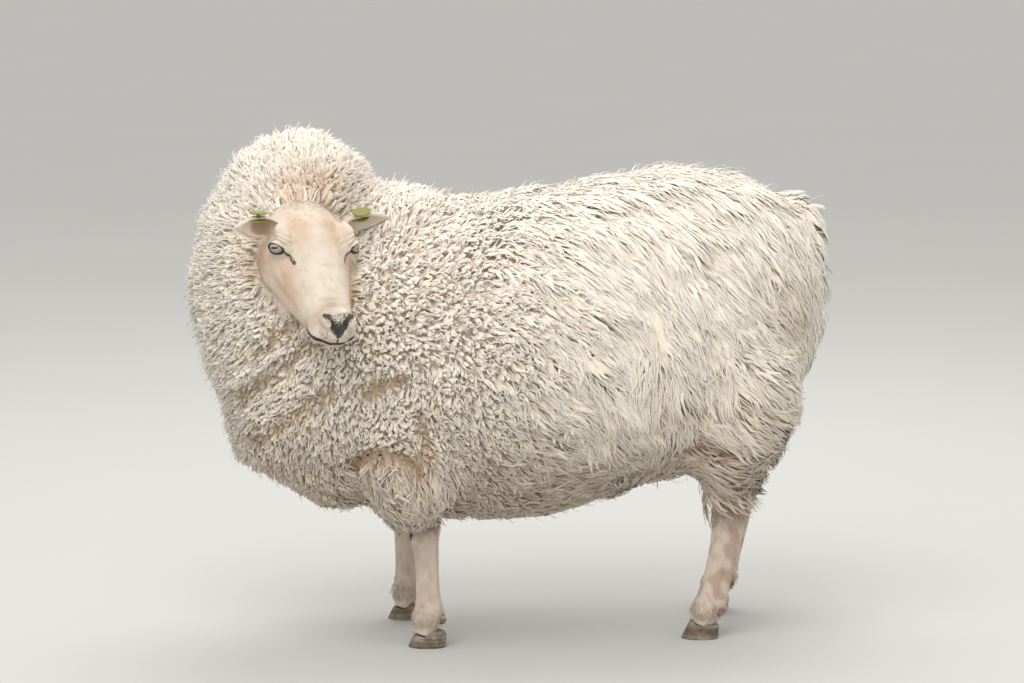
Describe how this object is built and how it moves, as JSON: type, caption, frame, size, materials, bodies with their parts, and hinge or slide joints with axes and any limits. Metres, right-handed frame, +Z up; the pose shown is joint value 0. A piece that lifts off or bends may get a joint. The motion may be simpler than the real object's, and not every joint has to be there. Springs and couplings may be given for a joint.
{
  "type": "sheep",
  "caption": "Full-grown white ewe in long fleece, standing still and looking to her left, with an ear tag in each ear.",
  "frame": {"origin": "on the ground under the middle of her length and breadth", "axes": "+Z up, she faces -X, her left flank is towards -Y"},
  "size_m": [1.0686, 0.5456, 0.8484],
  "materials": {
    "fleece": "matt, crimped wool in locks, cream at the tips and grey-brown at the roots",
    "short_hair": "skin under short flat hair, soft sheen",
    "hoof_horn": "dull horn, ringed and scuffed",
    "eyeball": "wet and clear, pale iris with a level slit pupil",
    "ear_tag": "flexible plastic, bare of print"
  },
  "bodies": {
    "root": {"trunk": "fleece", "neck": "fleece", "tail": "fleece", "head": "short_hair", "lower_jaw": "short_hair", "foreleg_upper_left": "fleece", "foreleg_lower_left": "short_hair", "hoof_fore_left_outer": "hoof_horn", "dewclaw_fore_left_outer": "hoof_horn", "hoof_fore_left_inner": "hoof_horn", "dewclaw_fore_left_inner": "hoof_horn", "foreleg_upper_right": "fleece", "foreleg_lower_right": "short_hair", "hoof_fore_right_outer": "hoof_horn", "dewclaw_fore_right_outer": "hoof_horn", "hoof_fore_right_inner": "hoof_horn", "dewclaw_fore_right_inner": "hoof_horn", "hindleg_upper_left": "fleece", "hindleg_lower_left": "short_hair", "hoof_hind_left_outer": "hoof_horn", "dewclaw_hind_left_outer": "hoof_horn", "hoof_hind_left_inner": "hoof_horn", "dewclaw_hind_left_inner": "hoof_horn", "hindleg_upper_right": "fleece", "hindleg_lower_right": "short_hair", "hoof_hind_right_outer": "hoof_horn", "dewclaw_hind_right_outer": "hoof_horn", "hoof_hind_right_inner": "hoof_horn", "dewclaw_hind_right_inner": "hoof_horn", "ear_left": "short_hair", "eye_left": "eyeball", "ear_tag_left": "ear_tag", "ear_right": "short_hair", "eye_right": "eyeball", "ear_tag_right": "ear_tag"}
  },
  "joints": []
}
